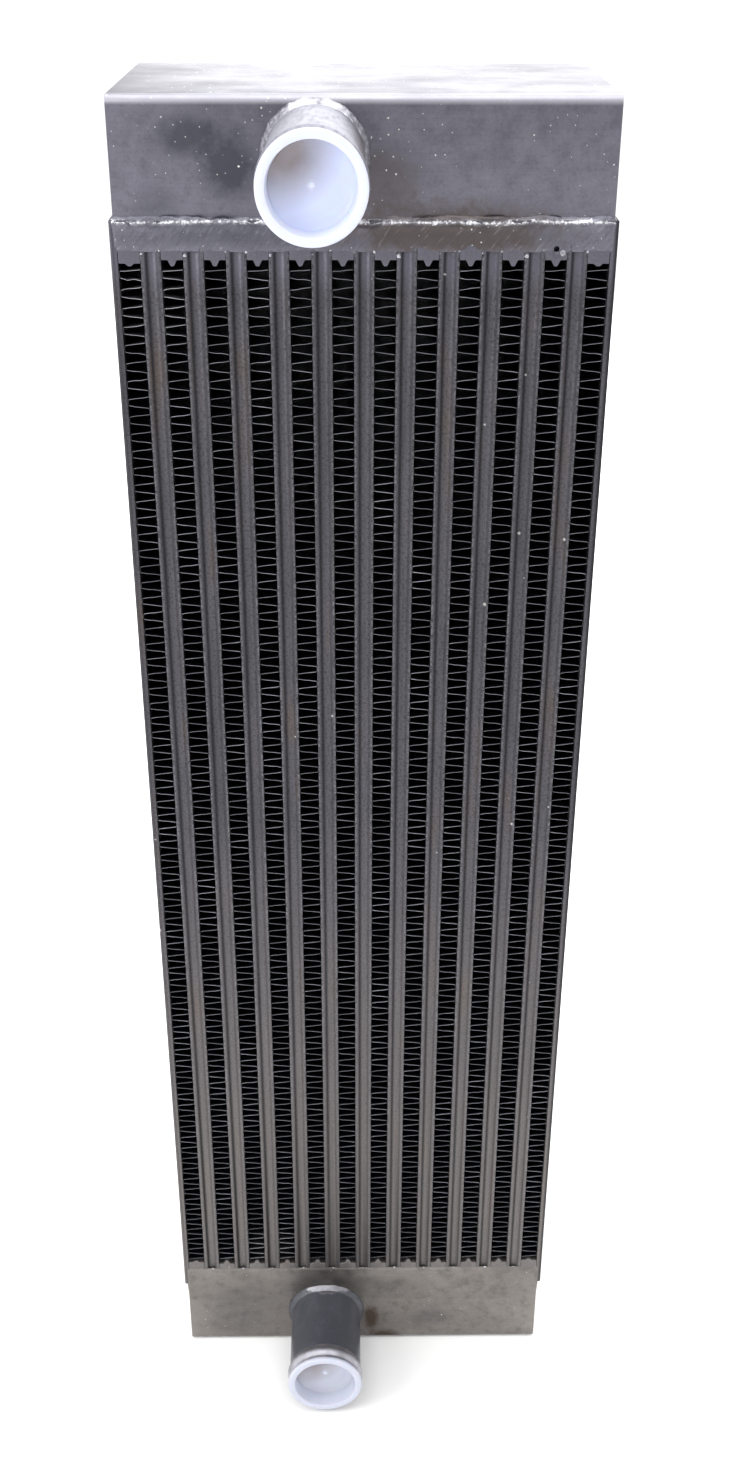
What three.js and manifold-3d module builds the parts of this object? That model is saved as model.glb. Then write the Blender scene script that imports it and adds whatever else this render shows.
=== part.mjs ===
// Bar-and-plate hydraulic oil cooler: a brazed aluminium core of eleven oil channels between
// twelve finned air passages, a folded tank welded on each end, an oil pipe in each tank's
// front wall and a push-in plastic plug in each pipe.
// Millimetres, +Z up. The origin is the centre of the bottom tank's underside; the front,
// with both pipes, faces -Y.

import * as THREE from 'three';
import { mergeVertices } from 'three/addons/utils/BufferGeometryUtils.js';
import Module from 'manifold-3d';

const wasm = await Module();
wasm.setup();

// ---- Driving dimensions -------------------------------------------------------------------

// Core: layers side by side along X.
const airPassages = 12;
const finHeight = 11; // clear width of an air passage
const sheetThickness = 1; // parting sheet, one on each side of an oil channel
const oilHeight = 8; // clear width of an oil channel, and the height of its long bars
const sidePlateThickness = 3.5;
const coreDepth = 148;
const airLength = 684; // from end bar to end bar
const brazeGap = 0.05; // room left for the filler between brazed pieces

// Long bars: the closed front and back edges of an oil channel.
const longBarWidth = 12;
const grooveWidth = 5.5;
const grooveDepth = 1.2;
const grooveSteps = 5;

// Inner fin of an oil channel, drawn as a few straight webs between its two sheets.
const webCount = 6;
const webThickness = 0.8;

// End bars: close the air passages at both ends, with a nose that points into the fin.
const endBarHeight = 19;
const noseHeight = 3;
const noseBase = 4.5;
const noseTip = 1.2;
const outerShoulder = 1.7; // how much deeper the outermost bars reach beside their nose
const weepHoleRadius = 1.4;
const weepHoleDepth = 6;
const weepHoleRise = 5.5; // above the bar's shoulder
const weepHolePassage = 10; // counted from 0 at -X

// Air fins: a coarse corrugation with the mass of the fine one. Its legs cross the passage
// and its crests lie flat on the parting sheets.
const finLegs = 28;
const finSheet = 0.5;
const finLean = 1.5; // how far each leg's ends are moved along Z, towards its crest's middle
const finRecess = 0.8; // behind the core's front and back faces
const finEndGap = 1; // to the nose of the end bar

// Tanks: a folded sheet, open towards the core, with an end plate let into each side.
const tankWall = 3;
const innerBend = 1; // inside radius of the sheet's bends
const bendSteps = 5;
const tankSideInset = 2; // the core stands out past the tank at each side
const tankFaceInset = 1.5; // and in front and behind
const endPlateThickness = 4;
const endPlateRecess = 1;
const fitGap = 0.3; // between pieces that are let into one another

// Pipes and their plugs.
const pipeOuter = 48;
const pipeWall = 2.5;
const pipeInside = 3; // how far a pipe reaches in past its tank's wall
const tankRoom = 6; // inside a tank, above and below its pipe together
const inletX = -23.5;
const inletHeadroom = 0.6; // between the pipe and the inside of the tank's closed wall
const inletLength = 87; // from the tank's front wall to the pipe's end
const outletX = -26;
const outletHeadroom = 1.5;
const outletLength = 61;
const beadRise = 1.8;
const beadLength = 8;
const beadFromEnd = 4;
const beadSteps = 6;
const pipeWeldLeg = 3;
const plugFlange = 49.5;
const plugFlangeThickness = 2.5;
const plugWall = 1.1;
const plugDepth = 10; // of the cup, from the flange's face to its floor
const plugTaper = 0.8; // how much slimmer the cup is at its inner end, in radius
const plugNubRadius = 1.2;
const plugNubHeight = 0.8;
const plugSeatGap = 0.2; // flange to pipe end
const roundSegments = 36;
const weepHoleSegments = 12;
const cutOverrun = 1; // how far a cutting rod runs past the face it opens

// ---- Worked out from them -----------------------------------------------------------------

const channelWidth = oilHeight + 2 * sheetThickness;
const pitch = finHeight + channelWidth;
const coreWidth = airPassages * pitch - channelWidth + 2 * sidePlateThickness;
const coreLength = airLength + 2 * endBarHeight;
const tankHeight = tankWall + pipeOuter + tankRoom;
const tankWidth = coreWidth - 2 * tankSideInset;
const tankDepth = coreDepth - 2 * tankFaceInset;
const coreBottom = tankHeight;
const coreTop = coreBottom + coreLength;
const totalHeight = coreTop + tankHeight;
const tankFront = -tankDepth / 2;
const pipeRadius = pipeOuter / 2;
const boreRadius = pipeRadius - pipeWall;
const bendRadius = innerBend + tankWall;

const airCentre = (i) => (i - (airPassages - 1) / 2) * pitch;
const channelCentre = (i) => airCentre(i) + pitch / 2;

// ---- Materials ----------------------------------------------------------------------------

const metal = (color, roughness) =>
  new THREE.MeshStandardMaterial({ color, roughness, metalness: 1 });
const brazedAluminium = metal(0x8d8a8b, 0.5);
const tankAluminium = metal(0x9a9798, 0.45);
const finAluminium = metal(0x3c3b3d, 0.5);
const pipeAluminium = metal(0xa9a8ab, 0.3);
const plugPlastic = new THREE.MeshStandardMaterial({ color: 0xdfe3f2, roughness: 0.4, metalness: 0 });

// ---- Helpers ------------------------------------------------------------------------------

const part = new THREE.Group();

function add(name, geometry, material) {
  const mesh = new THREE.Mesh(geometry, material);
  mesh.name = name;
  part.add(mesh);
  return mesh;
}

// Extrudes a shape to a depth centred on zero, then turns its own x, y and depth axes onto
// the part's axes.
function extrude(shape, depth, xAxis, yAxis) {
  const x = new THREE.Vector3(...xAxis);
  const y = new THREE.Vector3(...yAxis);
  const turn = new THREE.Matrix4().makeBasis(x, y, x.clone().cross(y));
  return new THREE.ExtrudeGeometry(shape, { depth, bevelEnabled: false })
    .translate(0, 0, -depth / 2)
    .applyMatrix4(turn);
}

const alongZ = (shape, depth) => extrude(shape, depth, [1, 0, 0], [0, 1, 0]);
const alongY = (shape, depth) => extrude(shape, depth, [1, 0, 0], [0, 0, 1]);
const alongX = (shape, depth) => extrude(shape, depth, [0, 1, 0], [0, 0, 1]);

const polygon = (points) => new THREE.Shape(points.map(([x, y]) => new THREE.Vector2(x, y)));

function rectangle(width, height) {
  const [x, y] = [width / 2, height / 2];
  return [[-x, -y], [x, -y], [x, y], [-x, y]];
}

// Points of an arc about (cx, cy), from one angle to another in degrees.
function arc(cx, cy, radius, from, to, steps) {
  return Array.from({ length: steps + 1 }, (_, i) => {
    const angle = THREE.MathUtils.degToRad(from + ((to - from) * i) / steps);
    return [cx + radius * Math.cos(angle), cy + radius * Math.sin(angle)];
  });
}

// A solid of revolution about the part's Y axis. Points are [radius, y].
const revolve = (points) =>
  new THREE.LatheGeometry(points.map(([x, y]) => new THREE.Vector2(x, y)), roundSegments);

function toSolid(geometry) {
  const bare = geometry.clone();
  for (const name of ['normal', 'uv']) bare.deleteAttribute(name);
  const merged = mergeVertices(bare, 1e-4);
  return new wasm.Manifold(
    new wasm.Mesh({
      numProp: 3,
      vertProperties: merged.attributes.position.array,
      triVerts: new Uint32Array(merged.index.array),
    }),
  );
}

function toGeometry(solid) {
  const mesh = solid.getMesh();
  return new THREE.BufferGeometry()
    .setAttribute('position', new THREE.BufferAttribute(mesh.vertProperties, 3))
    .setIndex(new THREE.BufferAttribute(mesh.triVerts, 1));
}

const cut = (body, tool) => toGeometry(toSolid(body).subtract(toSolid(tool)));

// A rod along Y from y0 to y1, for cutting round holes.
function rodAlongY(radius, y0, y1, x, z, segments) {
  const rod = new THREE.CylinderGeometry(radius, radius, y1 - y0, segments);
  return rod.translate(x, (y0 + y1) / 2, z);
}

// ---- Core ---------------------------------------------------------------------------------

// Section of an oil channel: two parting sheets and two grooved long bars brazed into one
// tube, with the inner fin's webs across it.
function channelSection() {
  const [x, y] = [channelWidth / 2, coreDepth / 2];
  const grooveRadius = (grooveWidth ** 2 / 4 + grooveDepth ** 2) / (2 * grooveDepth);
  const half = THREE.MathUtils.radToDeg(Math.asin(grooveWidth / 2 / grooveRadius));
  const centre = y + grooveRadius - grooveDepth;
  const section = polygon([
    [-x, -y],
    ...arc(0, -centre, grooveRadius, 90 + half, 90 - half, grooveSteps),
    [x, -y],
    [x, y],
    ...arc(0, centre, grooveRadius, -90 + half, -90 - half, grooveSteps),
    [-x, y],
  ]);
  const inside = coreDepth - 2 * longBarWidth;
  const cell = (inside - webCount * webThickness) / (webCount + 1);
  for (let i = 0; i <= webCount; i++) {
    const middle = -inside / 2 + cell / 2 + i * (cell + webThickness);
    const hole = rectangle(oilHeight, cell).map(([px, py]) => new THREE.Vector2(px, py + middle));
    section.holes.push(new THREE.Path(hole.reverse()));
  }
  return section;
}

const channelGeometry = alongZ(channelSection(), coreLength);
for (let i = 0; i < airPassages - 1; i++) {
  const channel = add(`oil_channel_${i + 1}`, channelGeometry, brazedAluminium);
  channel.position.set(channelCentre(i), 0, (coreBottom + coreTop) / 2);
}

// Section of an end bar in X and Z, with its flat end at z 0 and its nose pointing down.
function endBarSection(shoulder) {
  const x = finHeight / 2 - brazeGap;
  const shoulderZ = -endBarHeight - shoulder;
  const base = noseTip / 2 + ((noseBase - noseTip) / 2) * (1 - shoulder / noseHeight);
  const tipZ = -endBarHeight - noseHeight;
  return polygon([
    [-x, 0],
    [-x, shoulderZ],
    [-base, shoulderZ],
    [-noseTip / 2, tipZ],
    [noseTip / 2, tipZ],
    [base, shoulderZ],
    [x, shoulderZ],
    [x, 0],
  ]);
}

const weepHole = rodAlongY(
  weepHoleRadius,
  -coreDepth / 2 - cutOverrun,
  -coreDepth / 2 + weepHoleDepth,
  0,
  weepHoleRise - endBarHeight,
  weepHoleSegments,
);
for (let i = 0; i < airPassages; i++) {
  const outermost = i === 0 || i === airPassages - 1;
  const bar = alongY(endBarSection(outermost ? outerShoulder : 0), coreDepth);
  const topBar = i === weepHolePassage ? cut(bar, weepHole) : bar;
  const top = add(`top_end_bar_${i + 1}`, topBar, brazedAluminium);
  top.position.set(airCentre(i), 0, coreTop);
  const bottom = add(`bottom_end_bar_${i + 1}`, bar, brazedAluminium);
  bottom.rotation.y = Math.PI;
  bottom.position.set(airCentre(i), 0, coreBottom);
}

// Corrugated air fin in X and Z. Even legs run to a crest at +X and odd ones back to -X; the
// outline goes up one side of the sheet and down the other.
function finSection() {
  const x = finHeight / 2 - brazeGap;
  const length = airLength - 2 * (noseHeight + finEndGap);
  const half = finSheet / 2;
  const legZ = (leg) => -length / 2 + half + ((length - finSheet) * leg) / (finLegs - 1);
  const outside = [];
  const inside = [];
  for (let leg = 0; leg < finLegs - 1; leg++) {
    const side = leg % 2 ? -1 : 1;
    const [low, high] = [legZ(leg) + finLean, legZ(leg + 1) - finLean];
    const outer = [[side * x, low - half], [side * x, high + half]];
    const inner = [[side * (x - finSheet), low + half], [side * (x - finSheet), high - half]];
    outside.push(...(side > 0 ? outer : inner));
    inside.push(...(side > 0 ? inner : outer));
  }
  const endSide = finLegs % 2 ? 1 : -1;
  return polygon([
    [-x, legZ(0) - half],
    ...outside,
    [endSide * x, legZ(finLegs - 1) + endSide * -half],
    [endSide * x, legZ(finLegs - 1) + endSide * half],
    ...inside.reverse(),
    [-x, legZ(0) + half],
  ]);
}

const finGeometry = alongY(finSection(), coreDepth - 2 * finRecess);
for (let i = 0; i < airPassages; i++) {
  const fin = add(`air_fin_${i + 1}`, finGeometry, finAluminium);
  fin.position.set(airCentre(i), 0, (coreBottom + coreTop) / 2);
}

const plateWidth = sidePlateThickness - brazeGap;
const sidePlateGeometry = new THREE.BoxGeometry(plateWidth, coreDepth, coreLength);
for (const [name, side] of [['left_side_plate', -1], ['right_side_plate', 1]]) {
  const plate = add(name, sidePlateGeometry, brazedAluminium);
  plate.position.set((side * (coreWidth - plateWidth)) / 2, 0, (coreBottom + coreTop) / 2);
}

// ---- Tanks --------------------------------------------------------------------------------

// Section of a tank's folded sheet in Y and Z: closed at z tankHeight and open at z 0.
function foldSection() {
  const y = tankDepth / 2;
  const inner = y - tankWall;
  const foot = brazeGap;
  return polygon([
    [-y, foot],
    [-inner, foot],
    ...arc(-inner + innerBend, tankHeight - tankWall - innerBend, innerBend, 180, 90, bendSteps),
    ...arc(inner - innerBend, tankHeight - tankWall - innerBend, innerBend, 90, 0, bendSteps),
    [inner, foot],
    [y, foot],
    ...arc(y - bendRadius, tankHeight - bendRadius, bendRadius, 0, 90, bendSteps),
    ...arc(-y + bendRadius, tankHeight - bendRadius, bendRadius, 90, 180, bendSteps),
  ]);
}

// End plate in Y and Z, its upper corners rounded to clear the sheet's bends.
function endPlateSection() {
  const y = tankDepth / 2 - tankWall - fitGap;
  const top = tankHeight - tankWall - fitGap;
  const corner = innerBend + fitGap;
  return polygon([
    [-y, fitGap],
    [y, fitGap],
    ...arc(y - corner, top - corner, corner, 0, 90, bendSteps),
    ...arc(-y + corner, top - corner, corner, 90, 180, bendSteps),
  ]);
}

// A pipe along Y with its hose bead and the weld round its foot. y 0 is the tank's front wall.
function pipeGeometry(length) {
  const beadMiddle = -length + beadFromEnd + beadLength / 2;
  const bead = Array.from({ length: beadSteps + 1 }, (_, i) => {
    const angle = Math.PI * (1 - i / beadSteps);
    return [pipeRadius + beadRise * Math.sin(angle), beadMiddle + (beadLength / 2) * Math.cos(angle)];
  });
  const inner = tankWall + pipeInside;
  return revolve([
    [boreRadius, inner],
    [boreRadius, -length],
    [pipeRadius, -length],
    ...bead,
    [pipeRadius, -fitGap - pipeWeldLeg],
    [pipeRadius + pipeWeldLeg, -fitGap],
    [pipeRadius, -fitGap],
    [pipeRadius, inner],
    [boreRadius, inner],
  ]);
}

// A flanged cup that pushes into a pipe's bore. y 0 is the pipe's end face, +y is inwards.
function plugGeometry() {
  const face = -plugSeatGap - plugFlangeThickness;
  const neck = boreRadius - fitGap;
  const floor = face + plugDepth;
  return revolve([
    [0, floor - plugNubHeight],
    [plugNubRadius, floor - plugNubHeight],
    [plugNubRadius, floor],
    [neck - plugTaper - plugWall, floor],
    [neck - plugWall, face],
    [plugFlange / 2, face],
    [plugFlange / 2, -plugSeatGap],
    [neck, -plugSeatGap],
    [neck - plugTaper, floor + plugWall],
    [0, floor + plugWall],
  ]);
}

// Builds one tank standing on z 0 with its opening down; the bottom tank is turned over.
function addTank(place, pipe, { x: portX, headroom, length }) {
  const isTop = place === 'top';
  const seatZ = isTop ? coreTop : coreBottom;
  const turn = isTop ? 0 : Math.PI;
  const upOrDown = isTop ? 1 : -1;

  const portHeight = tankHeight - tankWall - headroom - pipeRadius;
  const opening = rodAlongY(
    pipeRadius + fitGap,
    tankFront - cutOverrun,
    tankFront + tankWall + cutOverrun,
    upOrDown * portX,
    portHeight,
    roundSegments,
  );
  const sheet = cut(alongX(foldSection(), tankWidth), opening);
  const endPlate = alongX(endPlateSection(), endPlateThickness);
  const endX = tankWidth / 2 - endPlateRecess - endPlateThickness / 2;
  const pieces = [['sheet', sheet, 0], ['left_end', endPlate, -endX], ['right_end', endPlate, endX]];
  for (const [piece, geometry, x] of pieces) {
    const mesh = add(`${place}_tank_${piece}`, geometry, tankAluminium);
    mesh.rotation.y = turn;
    mesh.position.set(x, 0, seatZ);
  }

  const portZ = seatZ + upOrDown * portHeight;
  const tube = add(`${pipe}_pipe`, pipeGeometry(length), pipeAluminium);
  tube.position.set(portX, tankFront, portZ);
  const plug = add(`${pipe}_plug`, plugGeometry(), plugPlastic);
  plug.position.set(portX, tankFront - length, portZ);
}

addTank('top', 'inlet', { x: inletX, headroom: inletHeadroom, length: inletLength });
addTank('bottom', 'outlet', { x: outletX, headroom: outletHeadroom, length: outletLength });

export default part;
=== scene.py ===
"""Hydraulic oil cooler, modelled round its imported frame: the fine surface of a brazed
bar-and-plate core, its folded and welded tanks, its pipes and transit plugs, and a stage."""

import math

import bmesh
import bpy
from bpy.props import FloatProperty, FloatVectorProperty, IntProperty, PointerProperty
from bpy.types import Operator, Panel, PropertyGroup
from mathutils import Matrix, Vector


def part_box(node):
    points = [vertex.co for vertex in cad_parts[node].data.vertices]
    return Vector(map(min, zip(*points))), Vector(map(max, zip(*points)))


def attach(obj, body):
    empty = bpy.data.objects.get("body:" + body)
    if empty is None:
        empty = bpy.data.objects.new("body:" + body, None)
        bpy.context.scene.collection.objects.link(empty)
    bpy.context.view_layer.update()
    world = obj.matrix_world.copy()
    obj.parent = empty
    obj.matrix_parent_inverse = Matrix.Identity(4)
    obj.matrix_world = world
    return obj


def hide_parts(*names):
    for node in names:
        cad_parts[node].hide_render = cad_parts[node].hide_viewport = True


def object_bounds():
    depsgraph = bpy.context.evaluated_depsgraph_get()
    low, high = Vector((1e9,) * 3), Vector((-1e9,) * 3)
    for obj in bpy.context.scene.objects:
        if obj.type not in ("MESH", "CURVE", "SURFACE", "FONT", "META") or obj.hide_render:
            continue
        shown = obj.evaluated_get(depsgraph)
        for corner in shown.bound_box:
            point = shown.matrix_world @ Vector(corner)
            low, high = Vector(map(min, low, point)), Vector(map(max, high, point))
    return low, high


bl_info = {
    "name": "Bar-and-plate oil cooler",
    "version": (1, 0, 0),
    "blender": (4, 5, 0),
    "location": "3D View > Sidebar > Oil cooler",
    "description": "Models the visible surface of a brazed hydraulic oil cooler, piece by piece",
    "category": "Object",
}

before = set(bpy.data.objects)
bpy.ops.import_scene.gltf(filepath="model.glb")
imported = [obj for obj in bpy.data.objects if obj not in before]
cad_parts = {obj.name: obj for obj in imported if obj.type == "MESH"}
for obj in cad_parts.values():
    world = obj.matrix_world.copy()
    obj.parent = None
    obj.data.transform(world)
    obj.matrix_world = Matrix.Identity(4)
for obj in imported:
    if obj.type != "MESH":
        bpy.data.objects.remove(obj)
CAD_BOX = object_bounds()

MM = 0.001
FULL_TURN = 2 * math.pi
SAME = 0.01 * MM  # closer than this, two places are one
SEAM = 0.002 * MM  # closer than this, two vertices of a turned piece are one
FACING = 0.9  # a normal with more than this along an axis faces that way
COOLER = "cooler"
PASSAGES = sum(1 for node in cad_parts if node.startswith("air_fin_"))
CHANNELS = PASSAGES - 1

# Places on the frame that the pieces are built from.
CORE_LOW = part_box("left_side_plate")[0]
CORE_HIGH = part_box("right_side_plate")[1]
CORE_FRONT = CORE_LOW.y
FLOOR_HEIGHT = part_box("bottom_tank_sheet")[0].z

# Small features that have no size of their own in the settings below.
WEEP_RADIUS = 1.4 * MM
WEEP_HEIGHT = 8.5 * MM  # above the tip of its bar's nose
PLATE_ROUND = 0.4 * MM
BAR_ROUND = 0.35 * MM
SHORT_NOSE, LONG_NOSE = 1.3 * MM, 3.0 * MM  # on the outermost bars, and on the others
PORT_ROOM = 0.3 * MM  # between a pipe and its hole in the tank
WELD_SHEET = 1.2 * MM  # thickness of a band of weld


def middle(node):
    """The middle of a CAD node's box."""
    low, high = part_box(node)
    return (low + high) / 2


# ---- Sizes and colours a user may change -------------------------------------------------


def srgb(hex_code):
    """A linear colour from an sRGB hex value."""
    channels = [int(hex_code[i : i + 2], 16) / 255 for i in (0, 2, 4)]
    linear = [c / 12.92 if c <= 0.04045 else ((c + 0.055) / 1.055) ** 2.4 for c in channels]
    return (*linear, 1.0)


def length(name, description, millimetres):
    """A size property, in metres, with its default given in millimetres."""
    return FloatProperty(
        name=name, description=description, default=millimetres * MM, unit="LENGTH", precision=5
    )


def colour(name, description, hex_code):
    return FloatVectorProperty(
        name=name, description=description, default=srgb(hex_code), size=4, subtype="COLOR",
        min=0.0, max=1.0,
    )


class CoolerCore(PropertyGroup):
    fin_spacing: length("Fin spacing", "Distance between two legs of an air fin", 4.65)
    fin_gauge: length("Fin gauge", "Thickness of the fin sheet", 0.15)
    fin_lean: length("Fin lean", "How far a leg's ends are off level", 0.66)
    fin_corner: length("Fin corner", "Size of the fold between a leg and its crest", 0.4)
    fin_side_room: length("Fin side room", "Braze film between crest and sheet", 0.02)
    fin_wobble: length("Fin wobble", "Random bending of the legs' front edges", 0.14)
    fin_top_wobble: length("Top fin wobble", "Bending of the legs nearest the top", 0.3)
    fin_damage: length("Fin damage", "Bending of the legs that were knocked", 0.6)
    sheet_gauge: length("Parting sheet gauge", "Thickness of a parting sheet", 1.0)
    groove_width: length("Groove width", "Width of the channel along a long bar", 6.0)
    groove_depth: length("Groove depth", "Depth of the channel along a long bar", 1.3)
    edge_round: length("Edge rounding", "Rounding of the bars' and sheets' edges", 0.22)
    nose_base: length("Nose base", "Width of an end bar's nose at its root", 4.6)
    nose_tip: length("Nose tip", "Width of an end bar's nose at its tip", 1.7)
    braze_dot: length("Braze dot", "Radius of a bead of filler at a bar's end", 1.0)


class CoolerTanks(PropertyGroup):
    wall: length("Tank wall", "Thickness of the folded sheet", 3.0)
    bend: length("Bend radius", "Outer radius of the sheet's bends", 4.0)
    edge_round: length("Cut edge rounding", "Rounding of the sheet's sheared edges", 0.35)
    rim_width: length("End weld width", "Width of the weld round an end plate", 5.0)
    rim_height: length("End weld height", "How far that weld stands off its plate", 1.3)
    weld_step: length("Weld ripple step", "Spacing of the points along a weld", 1.5)
    top_ripple: length("Top weld ripple", "Roughness of the top joint's weld", 4.0)
    top_sway: length("Top weld sway", "How far the top weld's ridge wanders", 10.0)
    bottom_ripple: length("Bottom weld ripple", "Roughness of the dressed bottom weld", 0.2)


class CoolerPorts(PropertyGroup):
    bore: length("Bore radius", "Inner radius of a pipe", 21.5)
    outer: length("Pipe radius", "Outer radius of a pipe", 24.0)
    bead_rise: length("Hose bead rise", "Height of the bead that holds the hose", 1.3)
    bead_length: length("Hose bead length", "Length of that bead", 9.5)
    bead_from_end: length("Bead to end", "Plain pipe between the bead and the end", 1.5)
    collar_leg: length("Collar leg", "Leg of a pipe's weld, along the tank", 2.7)
    collar_ripple: length("Collar ripple", "Roughness of a pipe's weld", 1.0)
    paint_end: length("Paint end", "Bare metal between the pipe's end and the paint", 10.5)
    cup_radius: length("Cup radius", "Inner radius of a plug's cup at its mouth", 20.4)
    cup_wall: length("Cup wall", "Thickness of a plug's cup", 0.8)
    steps: IntProperty(name="Steps", description="Steps round a turned piece", default=128)


class CoolerColours(PropertyGroup):
    core: colour("Core", "Furnace-brazed bars", "555459")
    core_warm: colour("Warm film", "Brownish film on the bars", "5c5049")
    sheet_edge: colour("Sheet edges", "Sheared edges of the parting sheets", "626166")
    # Painted shade: this dark fin colour stands for the shade inside the core's passages.
    fin: colour("Fin", "Fin sheet inside the core", "2e313b")
    fin_edge: colour("Fin edges", "Cut front and back edges of the fins", "dcdde8")
    tank: colour("Top tank", "Mill-finish sheet of the top tank", "6c6b75")
    # Painted floor bounce: the same sheet as the top tank, painted lighter and warmer.
    tank_low: colour("Bottom tank", "Mill-finish sheet of the bottom tank", "837e7a")
    # Painted highlight along the top tank's bends.
    bend: colour("Bends", "Sheet rubbed bright where it was folded", "dedde6")
    tank_stain: colour("Tank stain", "Handling and flux marks", "3f4049")
    # Dried oil on the tanks, and the painted brown reflection on the inlet pipe's right flank.
    brown_stain_and_reflection: colour("Brown stain", "Dried oil", "4e4643")
    rust: colour("Rust-brown stain", "Stain beside the outlet", "46382e")
    weld: colour("Weld", "Weld metal", "b2b1b9")
    pipe: colour("Pipe", "Bare pipe", "9b9ba5")
    paint: colour("Paint", "Satin black paint on the outlet", "42444b")
    plug: colour("Plug", "Milky plug plastic", "cbcfdf")
    plug_thin: colour("Plug, thin", "Plastic of the plug's cup", "c4ccea")
    # Painted shade: the lower plug's cup plastic, darker for its low place.
    plug_dusty: colour("Plug, dusty", "Cup of the lower plug, dulled by dust", "b9bbc8")
    # Painted shade inside the plugs' cups: the rim's shadow and the dark pipe seen through the
    # thin plastic.
    plug_shade: colour("Plug, shaded", "Cup where the dark pipe shows through", "7f7677")
    floor: colour("Floor", "Pale studio floor", "fdfdfd")


# ---- Modelling helpers -------------------------------------------------------------------


def deselect():
    bpy.ops.object.select_all(action="DESELECT")


def activate(obj):
    deselect()
    obj.select_set(True)
    bpy.context.view_layer.objects.active = obj


def edit(obj):
    """Opens a mesh in edit mode with nothing selected."""
    activate(obj)
    bpy.ops.object.mode_set(mode="EDIT")
    bpy.ops.mesh.select_all(action="DESELECT")


def close_edit():
    bpy.ops.object.mode_set(mode="OBJECT")


def pick(obj, kind, test):
    """Selects the verts, edges or faces that a test on their middle and direction passes.
    There must be some."""
    modes = {"verts": "VERT", "edges": "EDGE", "faces": "FACE"}
    bpy.context.tool_settings.mesh_select_mode = [kind == k for k in modes]
    mesh = bmesh.from_edit_mesh(obj.data)
    mesh.select_mode = {modes[kind]}
    found = 0
    for item in mesh.verts[:] + mesh.edges[:] + mesh.faces[:]:
        item.select = False
    for item in getattr(mesh, kind):
        if kind == "verts":
            chosen = test(item.co, item.normal)
        elif kind == "edges":
            first, second = (v.co for v in item.verts)
            chosen = test((first + second) / 2, second - first)
        else:
            chosen = test(item.calc_center_median(), item.normal)
        if chosen:
            item.select_set(True)
            found += 1
    if not found:
        raise RuntimeError(f"{obj.name} has no such {kind}")
    mesh.select_flush_mode()
    bmesh.update_edit_mesh(obj.data)


def settle(name):
    """Names the new primitive and puts its place and size into its mesh."""
    obj = bpy.context.object
    obj.name = obj.data.name = name
    bpy.ops.object.transform_apply(location=True, rotation=True, scale=True)
    return obj


def box_piece(name, low, high):
    low, high = Vector(low), Vector(high)
    deselect()
    bpy.ops.mesh.primitive_cube_add(size=1, location=(low + high) / 2, scale=high - low)
    return settle(name)


def slice_across(axis, places):
    """Cuts the open mesh across an axis at each place."""
    normal = [float(axis == i) for i in range(3)]
    for place in places:
        bpy.ops.mesh.select_all(action="SELECT")
        bpy.ops.mesh.bisect(plane_co=[place * n for n in normal], plane_no=normal)
    bpy.ops.mesh.select_all(action="DESELECT")


def extrude(by):
    """Extrudes the selected faces or edges and moves them."""
    bpy.ops.mesh.extrude_region_move(TRANSFORM_OT_translate={"value": by})


def start_line(name, first):
    """Opens a new mesh that is one vertex, at the start of a line."""
    deselect()
    bpy.ops.mesh.primitive_plane_add(size=MM)
    obj = settle(name)
    bpy.ops.object.mode_set(mode="EDIT")
    bpy.context.tool_settings.mesh_select_mode = (True, False, False)
    bpy.ops.mesh.select_all(action="SELECT")
    bpy.ops.mesh.merge(type="CENTER")
    bpy.ops.transform.translate(value=first)
    return obj


def draw_line(points):
    """Extrudes the selected vertex along points."""
    for here, there in zip(points, points[1:]):
        bpy.ops.mesh.extrude_vertices_move(
            TRANSFORM_OT_translate={"value": Vector(there) - Vector(here)}
        )


def turned_piece(name, profile, centre, steps):
    """Spins (radius, y) points round the Y axis through centre."""
    points = [Vector((centre.x + radius, centre.y + y, centre.z)) for radius, y in profile]
    obj = start_line(name, points[0])
    draw_line(points)
    bpy.ops.mesh.select_all(action="SELECT")
    bpy.ops.mesh.spin(steps=steps, angle=FULL_TURN, center=centre, axis=(0, 1, 0))
    bpy.ops.mesh.select_all(action="SELECT")
    bpy.ops.mesh.remove_doubles(threshold=SEAM)
    bpy.ops.mesh.normals_make_consistent(inside=False)
    close_edit()
    return obj


def modify(obj, kind, **settings):
    """Adds a modifier and applies it."""
    modifier = obj.modifiers.new(kind.title(), kind)
    for key, value in settings.items():
        setattr(modifier, key, value)
    activate(obj)
    bpy.ops.object.modifier_apply(modifier=modifier.name)


def round_edges(obj, width, segments=2):
    modify(obj, "BEVEL", width=width, segments=segments, limit_method="ANGLE",
           angle_limit=math.radians(35), use_clamp_overlap=True)


def roughen(obj, kind, grain, strength, group="", direction="NORMAL"):
    """Pushes the surface in and out by a procedural pattern."""
    texture = bpy.data.textures.new(obj.name + "_" + kind.lower(), kind)
    texture.noise_scale = grain
    modify(obj, "DISPLACE", texture=texture, texture_coords="LOCAL", strength=strength,
           mid_level=0.5, vertex_group=group, direction=direction)
    bpy.data.textures.remove(texture)


def smooth(obj, degrees=35):
    activate(obj)
    bpy.ops.object.shade_smooth_by_angle(angle=math.radians(degrees))


def drill(obj, place, radius, depth, sides):
    """Cuts a round hole along Y."""
    deselect()
    bpy.ops.mesh.primitive_cylinder_add(
        vertices=sides, radius=radius, depth=depth, location=place, rotation=(math.pi / 2, 0, 0)
    )
    tool = settle("drill")
    modify(obj, "BOOLEAN", operation="DIFFERENCE", object=tool, solver="EXACT")
    bpy.data.objects.remove(tool)


def copy_piece(obj, name, matrix):
    twin = obj.copy()
    twin.data = obj.data.copy()
    twin.name = twin.data.name = name
    twin.data.transform(matrix)
    bpy.context.collection.objects.link(twin)
    return twin


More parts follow.
